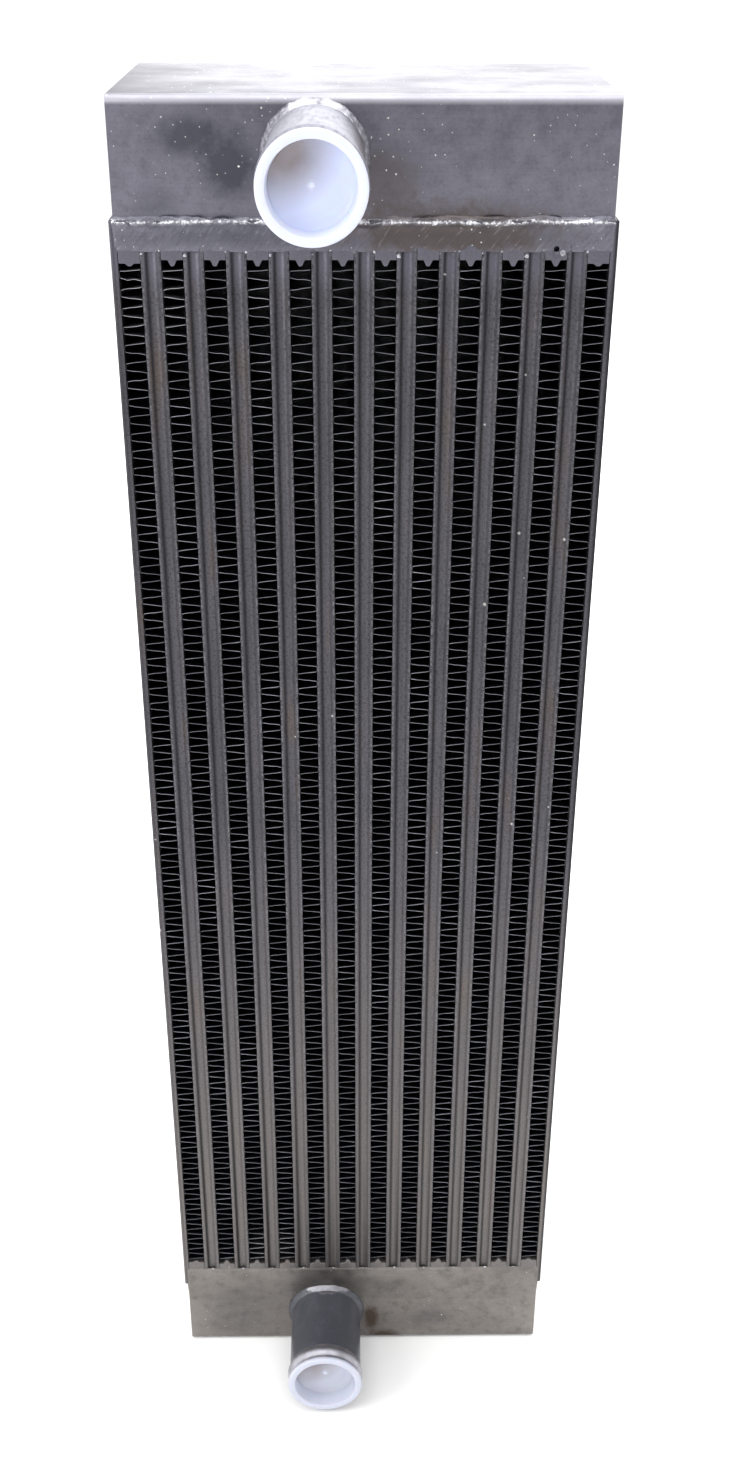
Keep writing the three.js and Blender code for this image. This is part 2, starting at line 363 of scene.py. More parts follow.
def join(name, pieces):
    deselect()
    for item in pieces:
        item.select_set(True)
    bpy.context.view_layer.objects.active = pieces[0]
    bpy.ops.object.join()
    pieces[0].name = pieces[0].data.name = name
    return pieces[0]


def hand_over(obj, materials, nodes=(), body=COOLER):
    """Gives a finished piece its materials and its body, and hides the CAD nodes it stands for.
    """
    for material in materials:
        obj.data.materials.append(material)
    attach(obj, body)
    if nodes:
        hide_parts(*nodes)


# ---- Materials ---------------------------------------------------------------------------


def add(tree, kind, inputs=None, **settings):
    """Adds one node with its settings. An input is a value, a node, or (node, output)."""
    node = tree.nodes.new("ShaderNode" + kind)
    for key, value in settings.items():
        setattr(node, key, value)
    for key, value in (inputs or {}).items():
        source = value if isinstance(value, tuple) else (value, 0)
        if isinstance(source[0], bpy.types.Node):
            tree.links.new(source[0].outputs[source[1]], node.inputs[key])
        else:
            node.inputs[key].default_value = value
    return node


def start_material(name, *clouds):
    """An empty node tree, the Object coordinates that its patterns follow, and its clouds:
    noise given by the size of its lumps in millimetres, its detail and its roughness."""
    material = bpy.data.materials.new(name)
    material.use_nodes = True
    tree = material.node_tree
    tree.nodes.clear()
    place = (add(tree, "TexCoord"), "Object")
    noises = [
        add(tree, "TexNoise", {"Vector": place, "Scale": 1 / (size * MM), "Detail": detail,
                               "Roughness": rough})
        for size, detail, rough in clouds
    ]
    return material, tree, place, *noises


def layered(tree, base, layers):
    """Lays colours over a base. A layer is a pattern, the values at which it starts and is
    whole, its strength there and its colour."""
    colour = list(base)
    for pattern, start, whole, strength, tone in layers:
        mask = add(tree, "MapRange", {"Value": pattern, "From Min": start, "From Max": whole,
                                      "To Max": strength})
        mixed = add(tree, "Mix", {0: mask, 6: colour, 7: list(tone)}, data_type="RGBA")
        colour = (mixed, 2)
    return colour


def dimmed(tone, share):
    return [c * share for c in tone[:3]] + [1.0]


def stretched(tree, place, sizes, **inputs):
    """Noise whose lumps have different sizes along the axes, in metres."""
    scaled = add(tree, "Mapping", {"Vector": place, "Scale": [1 / size for size in sizes]})
    return add(tree, "TexNoise", {"Vector": scaled, "Scale": 1.0, "Detail": 4.0, **inputs})


def patch(tree, place, centre, radii, ragged=None):
    """0 at centre, 1 at an ellipsoid with these radii and more outside. A ragged pattern
    frays its edge."""
    shifted = add(tree, "Mapping", {"Vector": place, "Scale": [1 / r for r in radii],
                                    "Location": [-c / r for c, r in zip(centre, radii)]})
    reach = (add(tree, "VectorMath", {0: shifted}, operation="LENGTH"), "Value")
    if not ragged:
        return reach
    return add(tree, "Math", {0: ragged, 1: 1.4, 2: reach}, operation="MULTIPLY_ADD")


def specks(tree, place, spacing, share):
    """Small values at scattered specks: one cell in a few holds one, and they gather here and
    there. The cells are flat and slant across every face, so that each face is strewn."""
    slanted = add(tree, "Mapping", {"Vector": place, "Scale": [1 / spacing] * 3,
                                    "Rotation": (-1.15, 0.35, 0.0)})
    cells = add(tree, "TexVoronoi", {"Vector": slanted, "Scale": 1.0}, voronoi_dimensions="2D")
    chance = add(tree, "SeparateColor", {"Color": (cells, "Color")})
    absent = add(tree, "Math", {0: chance, 1: share}, operation="GREATER_THAN")
    size = add(tree, "Math", {0: (chance, "Green"), 1: 0.06, 2: cells}, operation="MULTIPLY_ADD")
    crowd = add(tree, "TexNoise", {"Vector": place, "Scale": 1 / (30 * MM), "Detail": 9.0,
                                   "Roughness": 0.75})
    gathered = add(tree, "Math", {0: crowd, 1: 0.5, 2: size}, operation="MULTIPLY_ADD")
    centred = add(tree, "Math", {0: gathered, 1: 0.24}, operation="SUBTRACT")
    return add(tree, "Math", {0: centred, 1: absent}, operation="ADD")


def from_line(tree, x, pitch, start, line):
    """How far across a point lies from a line in its own strip. Strips are one pitch wide,
    counted from start, and hold their line at the same place."""
    shifted = add(tree, "Math", {0: x, 1: start}, operation="SUBTRACT")
    across = add(tree, "Math", {0: shifted, 1: pitch}, operation="FLOORED_MODULO")
    away = add(tree, "Math", {0: across, 1: line}, operation="SUBTRACT")
    return add(tree, "Math", {0: away}, operation="ABSOLUTE")


def complete(tree, colour, relief=(), rough=None, **inputs):
    """The surface shader. Relief is a row of patterns, each with its depth in millimetres and
    its strength. Rough is the pattern that the roughness follows, and the roughness where it
    is low and where it is high. What is the same all over stands on its own sockets."""
    settings = {key.replace("_", " "): value for key, value in inputs.items()}
    below = {}
    for pattern, depth, strength in relief:
        bump = add(tree, "Bump", {"Height": pattern, "Distance": depth * MM,
                                  "Strength": strength, **below})
        below = {"Normal": bump}
    if rough:
        pattern, low, high = rough
        settings["Roughness"] = add(tree, "MapRange", {
            "Value": pattern, "From Min": 0.3, "From Max": 0.7, "To Min": low, "To Max": high,
        })
    shader = add(tree, "BsdfPrincipled", {"Base Color": colour, **settings, **below})
    add(tree, "OutputMaterial", {"Surface": shader})


def brazed_aluminium(colours):
    """3003 aluminium bar out of the brazing furnace: a dull grey film in long clouds, a fine
    etched grain, painted shade in the flanks of each channel's groove, a painted floor bounce
    that makes the lower part lighter and warmer, and a few bare specks."""
    material, tree, place, grain = start_material("furnace_brazed_aluminium", (1.3, 3.0, 0.5))
    clouds = stretched(tree, place, (16 * MM, 60 * MM, 70 * MM), Detail=5.0)
    drawn = stretched(tree, place, (0.7 * MM, 30 * MM, 30 * MM))

    # Painted shade: each groove's flanks, left and right of the middle of its long bar, are
    # painted darker, most on the left.
    pitch = middle("oil_channel_2").x - middle("oil_channel_1").x
    parts = add(tree, "SeparateXYZ", {"Vector": place})
    left_corner, right_corner = (
        from_line(tree, (parts, "X"), pitch, -pitch / 2, pitch / 2 + offset)
        for offset in (-2.2 * MM, 2.9 * MM)
    )
    soot_and_groove_shade = dimmed(colours.core, 0.22)
    colour = layered(tree, colours.core, [
        (clouds, 0.42, 0.68, 0.5, dimmed(colours.core, 0.6)),
        (clouds, 0.44, 0.3, 0.6, colours.core_warm),
        (drawn, 0.5, 0.75, 0.35, dimmed(colours.core, 1.5)),
        (grain, 0.46, 0.68, 0.45, dimmed(colours.core, 0.3)),
        # Painted floor bounce, lighter and warmer on the lower part, and the wiped ends under the
        # top tank.
        ((parts, "Z"), 0.45, 0.12, 0.5, srgb("8d8783")),
        ((parts, "Z"), CORE_HIGH.z - 36 * MM, CORE_HIGH.z - 22 * MM, 0.85,
         dimmed(colours.tank, 0.82)),
        (left_corner, 1.5 * MM, 0.2 * MM, 0.8, soot_and_groove_shade),
        (right_corner, 0.9 * MM, 0.1 * MM, 0.4, soot_and_groove_shade),
        (specks(tree, place, 11 * MM, 0.1), 0.075, 0.045, 0.45, srgb("dcdad6")),
    ])
    complete(tree, colour, [(grain, 0.12, 0.6)], (grain, 0.42, 0.62), Metallic=1.0)
    return material


def sheared_edge(colours):
    """The parting sheets' sheared edges: brighter and coarser than the bars, with specks of
    braze filler along them."""
    material, tree, place, grit, clouds = start_material(
        "sheared_aluminium_edge", (1.6, 5.0, 0.7), (40, 3.0, 0.5)
    )
    colour = layered(tree, colours.sheet_edge, [
        (grit, 0.46, 0.6, 0.85, dimmed(colours.sheet_edge, 0.35)),
        (grit, 0.44, 0.3, 0.7, dimmed(colours.sheet_edge, 1.8)),
        (clouds, 0.45, 0.65, 0.35, dimmed(colours.sheet_edge, 0.6)),
        # Painted floor bounce: lighter and warmer towards the bottom.
        ((add(tree, "SeparateXYZ", {"Vector": place}), "Z"), 0.45, 0.12, 0.35, srgb("908a86")),
    ])
    complete(tree, colour, [(grit, 0.25, 0.8)], (grit, 0.38, 0.6), Metallic=1.0)
    return material


def fin_sheet(colours):
    """Thin rolled fin sheet: bare and bright on its cut edges, painted dark inside the core as
    painted shade of the deep passages, with painted glints on a few legs low down. Knocked legs
    are rubbed bright."""
    material, tree, place, wear, grain = start_material(
        "rolled_fin_sheet", (22, 3.0, 0.5), (0.6, 2.0, 0.5)
    )
    parts = add(tree, "SeparateXYZ", {"Vector": place})
    depth = add(tree, "Math", {0: (parts, "Y")}, operation="ABSOLUTE")
    edge_at = abs(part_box("air_fin_1")[0].y)

    # The crests are in shadow, at both sides of a passage.
    pitch = middle("air_fin_2").x - middle("air_fin_1").x
    aside = from_line(tree, (parts, "X"), pitch, 0.0, pitch / 2)
    bright = srgb("e4e4e8")
    rubbed = patch(tree, place, (-105 * MM, -edge_at, 740 * MM), (24 * MM, 7 * MM, 32 * MM), wear)
    # Painted glints: a patch of legs low in the core is painted brighter, on their edges and
    # their faces.
    painted_glints = patch(tree, place, (-62 * MM, -edge_at, 92 * MM), (20 * MM, 9 * MM, 18 * MM))
    edge = layered(tree, dimmed(colours.fin_edge, 0.42), [
        (wear, 0.5, 0.75, 0.8, colours.fin_edge),
        (wear, 0.48, 0.3, 0.5, dimmed(colours.fin_edge, 0.2)),
        (rubbed, 1.7, 1.1, 0.8, bright), (painted_glints, 1.0, 0.5, 0.9, bright),
        (aside, 4.7 * MM, 5.2 * MM, 0.85, dimmed(colours.fin_edge, 0.08)),
    ])
    # Painted shade: inside the core the sheet is painted dark, for the shade of the deep
    # passages.
    inside = layered(tree, colours.fin, [
        (rubbed, 1.7, 1.1, 0.8, bright), (painted_glints, 1.0, 0.4, 0.25, dimmed(bright, 0.6)),
    ])
    mask = add(tree, "MapRange", {"Value": depth, "From Min": edge_at - 1.0 * MM,
                                  "From Max": edge_at - 0.3 * MM})
    colour = (add(tree, "Mix", {0: mask, 6: inside, 7: edge}, data_type="RGBA"), 2)
    complete(tree, colour, [(grain, 0.05, 0.4)], (grain, 0.32, 0.5), Metallic=1.0)
    return material


def tank_sheet(colours, tank, welded=False):
    """Mill-finish 5052 sheet: faint rolling lines, smears and handling marks, stains of dried
    oil, painted highlights along the bends, and grinding dust. The welded one also has the
    frozen ripples of a weld on it, with broken dabs of painted highlight along its ridge."""
    name = f"{tank}_tank_" + ("weld_on_mill_sheet" if welded else "mill_finish_sheet")
    material, tree, place, marks, fine = start_material(name, (9, 6.0, 0.68), (1.4, 4.0, 0.6))
    # Painted floor bounce: the bottom tank's sheet is painted lighter and warmer than the top
    # tank's.
    tone = colours.tank if tank == "top" else colours.tank_low
    lines = stretched(tree, place, (40 * MM, 0.9 * MM, 0.9 * MM), Detail=3.0)
    smears = stretched(tree, place, (60 * MM, 40 * MM, 34 * MM), Detail=6.0, Roughness=0.62)
    pipe = middle("inlet_pipe" if tank == "top" else "outlet_pipe")
    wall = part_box(f"{tank}_tank_sheet")[0].y
    stain, brown, rust = colours.tank_stain, colours.brown_stain_and_reflection, colours.rust

    # (right of the pipe, above it, half width, half height), in millimetres, strength, colour
    stains = {
        "top": [
            ((34, -14, 24, 26), 0.55, brown), ((-42, -3, 20, 22), 0.85, stain),
            ((-60, 9, 22, 13), 0.75, stain), ((66, -35, 80, 20), 0.85, brown),
            ((-44, -35, 60, 11), 0.35, stain), ((-78, -22, 16, 12), 0.3, stain),
        ],
        "bottom": [
            ((32, -8, 8, 16), 0.85, rust), ((41, -26, 15, 8), 0.85, rust),
            ((6, 31, 34, 7), 0.15, stain), ((-62, -2, 42, 34), 0.2, stain),
            ((74, -8, 20, 10), 0.25, stain),
        ],
    }
    layers = [
        (smears, 0.46, 0.7, 0.5, dimmed(tone, 0.6)),
        (smears, 0.45, 0.28, 0.35, dimmed(tone, 1.3)),
        (lines, 0.45, 0.75, 0.12, dimmed(tone, 0.4)),
        (marks, 0.5, 0.7, 0.38 if tank == "top" else 0.6, dimmed(tone, 0.42)),
        (marks, 0.48, 0.3, 0.3, dimmed(tone, 1.35)),
        (fine, 0.5, 0.7, 0.3, dimmed(tone, 0.5)),
    ]
    for (x, z, wide, high), strength, stained in stains[tank]:
        centre = (pipe.x + x * MM, wall, pipe.z + z * MM)
        reach = patch(tree, place, centre, (wide * MM, 25 * MM, high * MM), marks)
        layers.append((reach, 1.6, 1.05, strength, stained))
    if welded:
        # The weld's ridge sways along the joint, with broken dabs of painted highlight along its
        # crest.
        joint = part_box(f"{tank}_tank_sheet")[0].z
        sway = stretched(tree, place, (22 * MM, 22 * MM, 60 * MM))
        height = (add(tree, "SeparateXYZ", {"Vector": place}), "Z")
        swayed = add(tree, "Math", {0: sway, 1: 3.0 * MM, 2: height}, operation="MULTIPLY_ADD")
        crest = add(tree, "Math", {0: swayed, 1: joint + 0.7 * MM}, operation="SUBTRACT")
        near = add(tree, "Math", {0: crest}, operation="ABSOLUTE")
        broken = add(tree, "Math", {0: marks, 1: 3.5 * MM, 2: near}, operation="MULTIPLY_ADD")
        layers.append((broken, 3.4 * MM, 1.5 * MM, 0.5, colours.weld))
        painted_ridge_highlight = add(tree, "Math", {0: fine, 1: 5.0 * MM, 2: broken}, operation="MULTIPLY_ADD")
        layers.append((painted_ridge_highlight, 4.8 * MM, 4.1 * MM, 0.85, srgb("f0f0f4")))
        skewed = add(tree, "Mapping", {"Vector": place, "Rotation": (0.0, 0.7, 0.0),
                                       "Scale": (1.4 * MM, 1.4 * MM, 7 * MM)},
                     vector_type="TEXTURE")
        ripples = add(tree, "TexNoise", {"Vector": skewed, "Scale": 1.0, "Detail": 3.0})
        layers.append((ripples, 0.5, 0.68, 0.3, dimmed(tone, 0.4)))
        layers.append((ripples, 0.4, 0.28, 0.15, colours.weld))
    if tank == "top":
        # Painted highlight along both bends of the top tank, where they would catch the light
        # from above.
        for side in (-1, 1):
            bend = patch(tree, place, (0, side * wall, CAD_BOX[1][2]), (1.0, 5.5 * MM, 4.6 * MM))
            layers.append((bend, 1.0, 0.6, 0.35, colours.bend))
    dust = specks(tree, place, 4 * MM, 0.32 if tank == "top" else 0.08)
    chips = specks(tree, place, 13 * MM, 0.08)
    layers += [(dust, 0.09, 0.06, 0.75, srgb("dcdad6")), (chips, 0.06, 0.04, 0.9, srgb("f2f0ea"))]
    relief = [(lines, 0.04, 0.4), (fine, 0.1, 0.4), (smears, 1.0, 0.2)]
    if welded:
        relief.append((ripples, 0.4, 0.35))
    complete(tree, layered(tree, tone, layers), relief, (smears, 0.36, 0.5), Metallic=1.0)
    return material


def weld_metal(colours):
    """TIG-welded aluminium: frozen ripples, bright on their crests and sooty between them."""
    material, tree, _, ripples, soot_and_groove_shade = start_material(
        "tig_weld_aluminium", (2.2, 4.0, 0.6), (12, 5.0, 0.65)
    )
    colour = layered(tree, colours.weld, [
        (soot_and_groove_shade, 0.44, 0.62, 0.8, dimmed(colours.weld, 0.25)),
        (ripples, 0.5, 0.7, 0.5, srgb("e9e9ee")),
        (ripples, 0.42, 0.3, 0.5, dimmed(colours.weld, 0.35)),
    ])
    complete(tree, colour, [(ripples, 0.4, 0.7)], (soot_and_groove_shade, 0.34, 0.55), Metallic=1.0)
    return material


def bare_tube(colours):
    """Drawn aluminium tube, scoured clean with a flap wheel: bright and frosty, with streaks
    along it and duller patches, and a painted brown reflection on its right flank."""
    material, tree, place, smears = start_material("scoured_aluminium_tube", (16, 5.0, 0.5))
    scour = stretched(tree, place, (2.5 * MM, 14 * MM, 2.5 * MM), Detail=5.0, Roughness=0.65)
    pipe, wall = middle("inlet_pipe"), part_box("top_tank_sheet")[0].y
    # Painted reflection: the pipe's right flank is painted brown, for the stained tank beside it.
    shade = patch(tree, place, (pipe.x + 28 * MM, wall - 30 * MM, pipe.z + 6 * MM),
                  (20 * MM, 80 * MM, 26 * MM))
    colour = layered(tree, colours.pipe, [
        (smears, 0.5, 0.7, 0.45, dimmed(colours.pipe, 0.6)),
        (scour, 0.5, 0.72, 0.5, dimmed(colours.pipe, 0.45)),
        (shade, 1.0, 0.4, 0.6, colours.brown_stain_and_reflection),
    ])
    complete(tree, colour, [(scour, 0.15, 0.5)], (scour, 0.55, 0.7), Metallic=1.0)
    return material


def painted_tube(colours):
    """The outlet: satin black paint over the tube and most of its weld, with bare metal where
    the weld was cleaned on top and from the hose bead to the end."""
    material, tree, place, smears, fine = start_material(
        "part_painted_aluminium_tube", (9, 4.0, 0.5), (1.2, 5.0, 0.5)
    )
    ports = bpy.context.scene.cooler_ports
    pipe, front = middle("outlet_pipe"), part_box("outlet_pipe")[0].y
    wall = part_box("bottom_tank_sheet")[0].y
    turning = stretched(tree, place, (12 * MM, 0.4 * MM, 12 * MM), Detail=3.0)
    y = (add(tree, "SeparateXYZ", {"Vector": place}), "Y")
    ragged = add(tree, "Math", {0: smears, 1: 2.5 * MM, 2: y}, operation="MULTIPLY_ADD")
    edge = front + ports.paint_end + 1.25 * MM
    past = add(tree, "MapRange", {"Value": ragged, "From Min": edge - 0.3 * MM,
                                  "From Max": edge + 0.3 * MM})
    cleaned = patch(tree, place, (pipe.x + 2 * MM, wall, pipe.z + 29 * MM),
                    (25 * MM, 8 * MM, 11 * MM), smears)
    kept = add(tree, "MapRange", {"Value": cleaned, "From Min": 1.45, "From Max": 1.65})
    whole = add(tree, "Math", {0: past, 1: kept}, operation="MULTIPLY")
    chipped = add(tree, "MapRange", {"Value": specks(tree, place, 13 * MM, 0.12),
                                     "From Min": 0.05, "From Max": 0.07})
    coat = add(tree, "Math", {0: whole, 1: chipped}, operation="MULTIPLY")
    metal = layered(tree, colours.weld, [
        (smears, 0.45, 0.68, 0.5, dimmed(colours.weld, 0.4)),
        (turning, 0.5, 0.7, 0.4, dimmed(colours.weld, 0.55)),
        (y, wall - 9 * MM, wall - 5 * MM, 0.55, dimmed(colours.weld, 0.25)),
    ])
    colour = layered(tree, colours.paint, [
        (smears, 0.48, 0.68, 0.5, dimmed(colours.paint, 1.5)),
        (fine, 0.5, 0.7, 0.5, dimmed(colours.paint, 0.5)),
    ])
    both = (add(tree, "Mix", {0: coat, 6: metal, 7: colour}, data_type="RGBA"), 2)
    bare = add(tree, "MapRange", {"Value": coat, "To Min": 1.0, "To Max": 0.0})
    gloss = add(tree, "MapRange", {"Value": coat, "To Min": 0.45, "To Max": 0.36})
    relief = [(turning, 0.05, 0.4), (fine, 0.08, 0.35)]
    complete(tree, both, relief, Metallic=bare, Roughness=gloss)
    return material


def plug_plastic(colours, name):
    """Low-density polyethylene, moulded thin: milky, waxy and slightly blue. Painted shade
    darkens the cup, most at its upper left, for the rim's shadow and the dark pipe seen through
    the thin plastic, and not where the sprue is thick. The lower plug is painted darker all over,
    as painted shade."""
    material, tree, place, flow, wax = start_material(
        f"moulded_polyethylene_{name}", (14, 3.0, 0.5), (1.5, 2.0, 0.5)
    )
    ports = bpy.context.scene.cooler_ports
    low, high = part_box(f"{name}_plug")
    x, z = (low.x + high.x) / 2, (low.z + high.z) / 2
    cup = ports.cup_radius
    bowl = patch(tree, place, (x, high.y - 1 * MM, z), (cup, 9.2 * MM, cup))
    # Painted shade at the cup's upper left: the rim's shadow and the dark pipe seen through.
    dark = patch(tree, place, (x - 15 * MM, high.y, z + 15 * MM), (26 * MM, 60 * MM, 24 * MM))
    sprue = patch(tree, place, (x, high.y, z), (2.6 * MM, 9 * MM, 2.6 * MM))
    # Painted shade: the lower plug's cup takes a darker copy of the plastic.
    thin = colours.plug_thin if name == "inlet" else colours.plug_dusty
    seen_through_and_shaded = layered(tree, thin, [
        (dark, 1.15, 0.35, 1.0, colours.plug_shade), (flow, 0.4, 0.7, 0.2, colours.plug),
        (sprue, 1.0, 0.45, 1.0, colours.plug),
    ])
    inside = add(tree, "MapRange", {"Value": bowl, "From Min": 1.03, "From Max": 0.97})
    # Painted shade: the lower plug's flange is a darker copy of the plug colour.
    flange = colours.plug if name == "inlet" else dimmed(colours.plug, 0.84)
    rim = layered(tree, flange, [(flow, 0.5, 0.75, 0.3, dimmed(flange, 0.88))])
    colour = (add(tree, "Mix", {0: inside, 6: rim, 7: seen_through_and_shaded}, data_type="RGBA"), 2)
    centred = add(tree, "Mapping", {"Vector": place, "Location": (-x, -high.y, -z)})
    rings = add(tree, "TexWave", {"Vector": centred, "Scale": FULL_TURN / (20 * 1.9 * MM)},
                wave_type="RINGS", rings_direction="Y")
    relief = [(rings, 0.12, 0.08 if name == "inlet" else 0.5), (wax, 0.05, 0.4)]
    complete(tree, colour, relief, (flow, 0.28, 0.42), IOR=1.51, Subsurface_Weight=0.2,
             Subsurface_Scale=2 * MM)
    return material


def studio_floor(colours):
    """Pale matt paper."""
    material, tree, _, fibre = start_material("pale_paper", (60, 2.0, 0.5))
    colour = layered(tree, colours.floor, [(fibre, 0.3, 0.7, 1.0, dimmed(colours.floor, 0.985))])
    complete(tree, colour, Roughness=0.9)
    return material


# ---- Stage -------------------------------------------------------------------------------

FLOOR_WIDTH = 60.0
FLOOR_GAP = 0.2 * MM  # keeps the floor clear of the tank's face
AIR_STRENGTH = 1.16

# name, place, what it points at, width, power in watts
SOFTBOXES = (
    ("overhead_softbox", (0.0, 0.0, 2.6), (0.0, 0.0, 0.0), 2.4, 41),
    ("back_softbox", (0.7, 2.6, 1.6), (0.0, 0.0, 0.8), 2.8, 60),
    ("left_softbox", (-1.6, -0.9, 1.3), (-0.4, -0.2, 0.0), 1.0, 17),
)
LENS = 39.21
SIGHT = 100.0  # how far the camera sees, past the floor's corners
CAMERA_PLACE = (-7.69 * MM, -871.78 * MM, 927.49 * MM)
CAMERA_TURN = (90 - 28.304, 0.171, -0.752)  # degrees of pitch, roll and yaw


class COOLER_OT_stage(Operator):
    """Adds the floor, the lights and the camera"""

    bl_idname = "cooler.stage"
    bl_label = "Stage"

    def execute(self, context):
        scene = context.scene
        deselect()
        below = (0, 0, FLOOR_HEIGHT - FLOOR_GAP)
        bpy.ops.mesh.primitive_plane_add(size=FLOOR_WIDTH, location=below)
        floor = settle("studio_floor")
        floor.data.materials.append(studio_floor(scene.cooler_colours))

        world = bpy.data.worlds.new("studio_air")
        world.use_nodes = True
        air = world.node_tree.nodes["Background"].inputs
        air["Color"].default_value = srgb("ffffff")
        air["Strength"].default_value = AIR_STRENGTH
        scene.world = world

        for name, place, target, size, power in SOFTBOXES:
            lamp = bpy.data.lights.new(name, "AREA")
            lamp.size = size
            lamp.energy = power
            holder = bpy.data.objects.new(name, lamp)
            holder.location = place
            aim = Vector(target) - Vector(place)
            holder.rotation_euler = aim.to_track_quat("-Z", "Y").to_euler()
            scene.collection.objects.link(holder)

        camera = bpy.data.cameras.new("camera")
        camera.lens = LENS
        camera.clip_end = SIGHT
        holder = bpy.data.objects.new("camera", camera)
        turns = zip(CAMERA_TURN, "XZZ")
        pitch, roll, yaw = (Matrix.Rotation(math.radians(a), 4, axis) for a, axis in turns)
        holder.matrix_world = Matrix.Translation(CAMERA_PLACE) @ yaw @ pitch @ roll
        scene.collection.objects.link(holder)
        scene.camera = holder
        scene.view_settings.view_transform = "Standard"
        return {"FINISHED"}


# ---- Core --------------------------------------------------------------------------------


class COOLER_OT_channels(Operator):
    """Models the oil channels, two parting sheets and two grooved bars each, and side plates"""

    bl_idname = "cooler.channels"
    bl_label = "Oil channels"

    def execute(self, context):
        core, colours = context.scene.cooler_core, context.scene.cooler_colours
        low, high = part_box("oil_channel_1")
        centre = (low + high) / 2
        half = (high.x - low.x) / 2
        strip = box_piece("channel_master", low, high)

        sheet_line = half - core.sheet_gauge
        groove = core.groove_width / 2
        steps = [groove * i / 4 for i in range(-4, 5)]
        flatness = 2.4  # 2 gives a round groove, and more gives a flatter floor
        edit(strip)
        slice_across(0, [centre.x + place for place in (-sheet_line, *steps, sheet_line)])
        for place in steps[1:-1]:
            sink = core.groove_depth * (1 - abs(place / groove) ** flatness)
            for side in (-1, 1):
                pick(strip, "verts", lambda c, n: abs(c.x - centre.x - place) < SAME
                     and c.y * side > 0)
                bpy.ops.transform.translate(value=(0, -side * sink, 0))
        close_edit()
        round_edges(strip, core.edge_round)

        # The sheets' front and back edges, with their rounding, are sheared metal.
        for face in strip.data.polygons:
            across = abs(face.center.x - centre.x)
            face.material_index = int(abs(face.normal.y) > 0.3 and across > sheet_line)
        smooth(strip)

        materials = [brazed_aluminium(colours), sheared_edge(colours)]
        for number in range(CHANNELS):
            node = f"oil_channel_{number + 1}"
            shift = Matrix.Translation((middle(node).x - centre.x, 0, 0))
            piece = copy_piece(strip, f"channel_bars_and_sheets_{number + 1}", shift)
            hand_over(piece, materials, [node])
        bpy.data.objects.remove(strip)

        for side, node in (("left", "left_side_plate"), ("right", "right_side_plate")):
            plate = box_piece(f"{side}_plate", *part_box(node))
            round_edges(plate, PLATE_ROUND)
            smooth(plate)
            hand_over(plate, [materials[0]], [node])
        return {"FINISHED"}


def weep_hole(obj):
    """Drills the weep hole of the last but one air passage."""
    node = f"top_end_bar_{PASSAGES - 1}"
    place = (middle(node).x, CORE_FRONT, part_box(node)[0].z + WEEP_HEIGHT)
    drill(obj, place, WEEP_RADIUS, depth=12 * MM, sides=32)


class COOLER_OT_end_bars(Operator):
    """Models the bars that close the air passages, with their noses and the weep hole"""

    bl_idname = "cooler.end_bars"
    bl_label = "End bars"

    def execute(self, context):
        core = context.scene.cooler_core
        material = bpy.data.materials["furnace_brazed_aluminium"]
        masters = {}
        for outer, number, nose in ((True, 1, SHORT_NOSE), (False, 2, LONG_NOSE)):
            low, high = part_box(f"top_end_bar_{number}")
            tip = low.z
            shoulder = tip + nose
            master = box_piece("bar_master", (low.x, low.y, shoulder), high)
            centre = (low.x + high.x) / 2
            edit(master)
            slice_across(0, [centre - core.nose_base / 2, centre + core.nose_base / 2])
            pick(master, "faces", lambda c, n: n.z < -FACING and abs(c.x - centre) < MM)
            extrude((0, 0, tip - shoulder))
            bpy.ops.transform.resize(
                value=(core.nose_tip / core.nose_base, 1, 1), center_override=(centre, 0, tip)
            )
            close_edit()
            round_edges(master, BAR_ROUND, 3)
            smooth(master)
            masters[outer] = (master, Vector((centre, 0, high.z)))

        for number in range(PASSAGES):
            master, origin = masters[number in (0, PASSAGES - 1)]
            for end in ("top", "bottom"):
                node = f"{end}_end_bar_{number + 1}"
                low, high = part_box(node)
                seat = Vector(((low.x + high.x) / 2, 0, high.z if end == "top" else low.z))
                turn = Matrix.Rotation(0 if end == "top" else math.pi, 4, "Y")
                matrix = Matrix.Translation(seat) @ turn @ Matrix.Translation(-origin)
                bar = copy_piece(master, f"{end}_closing_bar_{number + 1}", matrix)
                if node == f"top_end_bar_{PASSAGES - 1}":
                    weep_hole(bar)
                hand_over(bar, [material], [node])
        for master, _ in masters.values():
            bpy.data.objects.remove(master)
        return {"FINISHED"}


